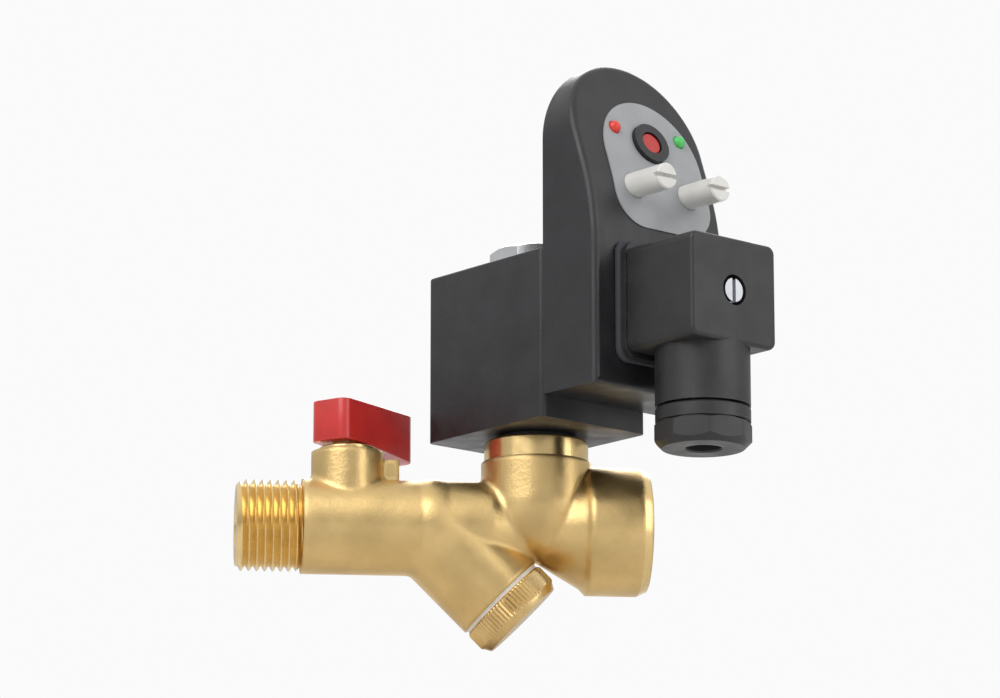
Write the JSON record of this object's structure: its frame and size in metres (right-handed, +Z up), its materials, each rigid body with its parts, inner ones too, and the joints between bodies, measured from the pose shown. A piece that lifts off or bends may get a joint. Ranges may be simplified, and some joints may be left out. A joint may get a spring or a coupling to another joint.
{
  "type": "timed automatic drain valve",
  "caption": "Brass condensate drain valve with ball valve, strainer leg, solenoid coil, plug-on timer with two setting shafts and test button, and a square cable plug.",
  "frame": {"origin": "middle of the inlet thread's end face, on the pipe's axis", "axes": "+X along the pipe from inlet to outlet, +Z up along the solenoid"},
  "size_m": [0.118, 0.0804, 0.1339],
  "materials": {
    "brass_body": "forged and shot-blasted, bare",
    "brass_turned": "turned",
    "steel": "turned or pressed, bright",
    "chromed_ball": "polished",
    "ptfe": "turned white seat material",
    "rubber": "moulded, matt",
    "lever_red": "coated casting",
    "coil_black": "moulded coil encapsulation, fine texture",
    "copper": "enamelled copper wire",
    "timer_black": "moulded, fine texture",
    "panel_grey": "satin control panel",
    "board_green": "circuit board",
    "lamp_red": "tinted lamp",
    "lamp_green": "tinted lamp",
    "shaft_grey": "moulded shaft",
    "button_red": "moulded button",
    "trimmer_blue": "moulded trimmer body",
    "plug_black": "moulded plug",
    "block_grey": "terminal carrier"
  },
  "bodies": {
    "valve": {"valve_body": "brass_body", "inlet_nipple": "brass_turned", "inlet_ball_seat": "ptfe", "outlet_ball_seat": "ptfe", "stem_packing": "ptfe", "stem_gland_nut": "brass_turned", "strainer_screen": "steel", "strainer_gasket": "rubber", "strainer_cap": "brass_turned", "bonnet_seal": "rubber", "armature_tube": "steel", "bonnet_collar": "brass_turned", "fixed_core": "steel", "shading_ring": "copper", "plunger_spring": "steel", "coil_seal": "rubber", "coil_case": "coil_black", "coil_yoke": "steel", "coil_bobbin": "ptfe", "coil_winding": "copper", "coil_terminals": "steel", "coil_washer": "steel", "coil_nut": "steel", "timer_cover": "timer_black", "timer_panel": "panel_grey", "timer_back_plate": "timer_black", "timer_case_screws": "steel", "circuit_board": "board_green", "timer_terminals": "steel", "power_lamp": "lamp_red", "drain_lamp": "lamp_green", "interval_trimmer": "trimmer_blue", "discharge_trimmer": "trimmer_blue", "test_switch": "block_grey", "plug_gasket": "rubber", "plug_shell": "plug_black", "terminal_block": "block_grey", "plug_screw_seal": "rubber", "plug_screw": "steel", "gland_grommet": "rubber", "gland_washer": "block_grey", "gland_nut": "plug_black"},
    "shut_off": {"ball": "chromed_ball", "valve_stem": "brass_turned", "lever": "lever_red", "lever_screw": "steel"},
    "armature": {"plunger": "steel", "plunger_seal": "rubber"},
    "interval_setting": {"interval_shaft": "shaft_grey"},
    "discharge_setting": {"discharge_shaft": "shaft_grey"},
    "test_push": {"test_button": "button_red"}
  },
  "joints": [
    {"name": "lever_turn", "type": "hinge", "parent": "valve", "child": "shut_off", "pos_m": [0.0255, 0, 0], "axis": [0, 0, 1], "range_deg": [-50, 40]},
    {"name": "plunger_lift", "type": "slide", "parent": "valve", "child": "armature", "axis": [0, 0, 1], "range_m": [0, 0.0025], "stiffness_N_per_m": 400, "springref_m": -0.002, "deforming": ["plunger_spring"]},
    {"name": "interval_turn", "type": "hinge", "parent": "valve", "child": "interval_setting", "pos_m": [0.09074, -0.03384, 0.0745], "axis": [0.5664, -0.8241, 0], "range_deg": [-135, 135]},
    {"name": "discharge_turn", "type": "hinge", "parent": "valve", "child": "discharge_setting", "pos_m": [0.10434, -0.02449, 0.0745], "axis": [0.5664, -0.8241, 0], "range_deg": [-135, 135]},
    {"name": "test_press", "type": "slide", "parent": "valve", "child": "test_push", "axis": [-0.5355, 0.7792, -0.3256], "range_m": [0, 0.0007], "stiffness_N_per_m": 1500, "springref_m": -0.0005}
  ]
}
